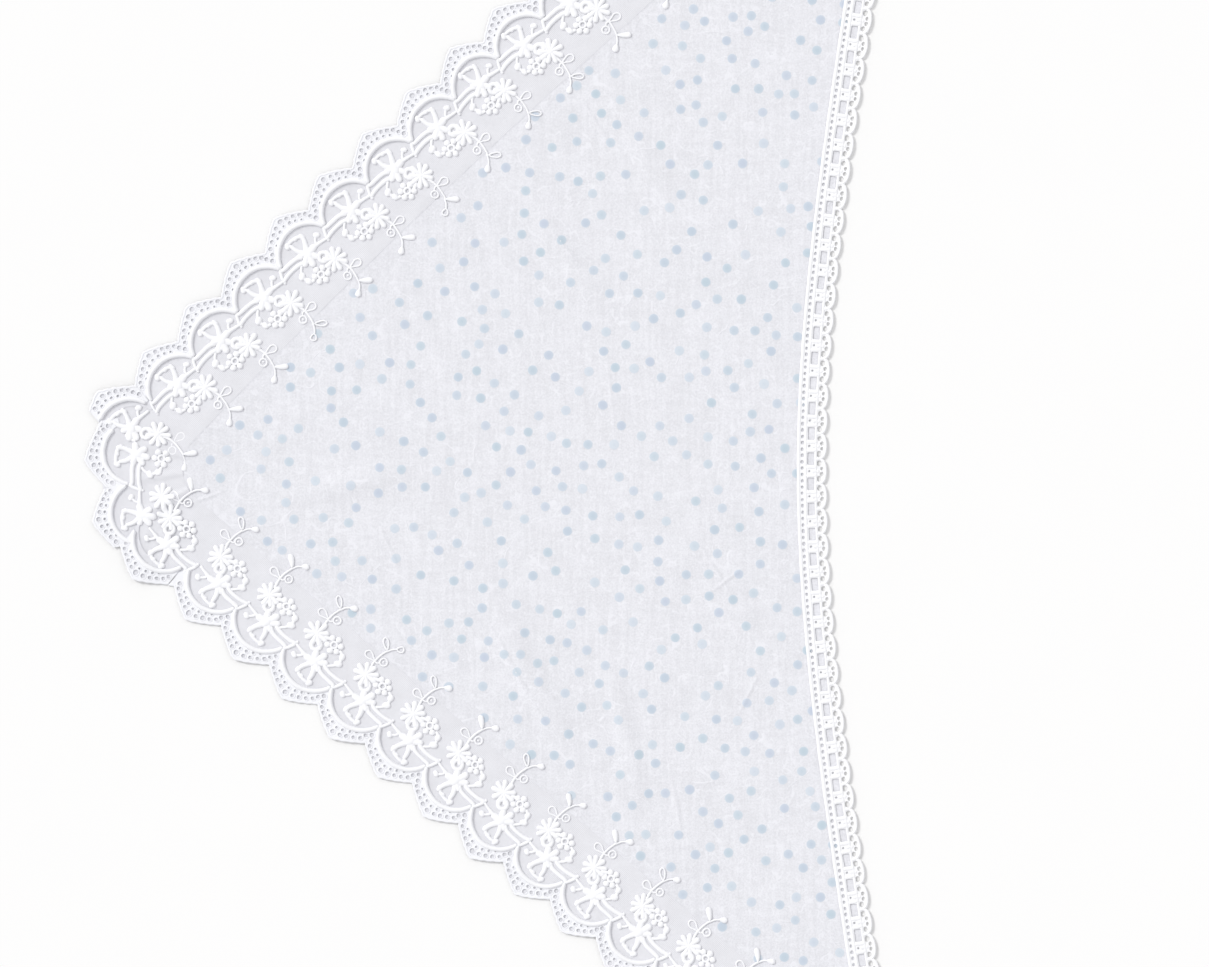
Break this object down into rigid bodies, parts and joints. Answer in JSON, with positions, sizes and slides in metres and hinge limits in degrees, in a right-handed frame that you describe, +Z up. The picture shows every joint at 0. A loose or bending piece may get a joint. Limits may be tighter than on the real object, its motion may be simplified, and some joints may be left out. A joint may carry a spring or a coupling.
{
  "type": "lace-edged triangular kerchief scarf",
  "caption": "Triangular sheer cloth scarf with woven dots, a wide scalloped floral lace round two sides and a narrow ladder lace along the long side, lying flat.",
  "frame": {"origin": "on the resting surface under the middle of the whole outline", "axes": "+Z up off the surface, +Y along the long side, +X across from the point to the long side"},
  "size_m": [0.3594, 0.6828, 0.0036],
  "materials": {
    "sheer_cloth": "sheer plain weave with woven pale blue dots",
    "wide_lace": "white satin-stitch embroidery on fine net",
    "ladder_lace": "white cotton bobbin-type lace"
  },
  "bodies": {
    "root": {"dotted_panel": "sheer_cloth", "scalloped_lace": "wide_lace", "narrow_lace": "ladder_lace"}
  },
  "joints": []
}
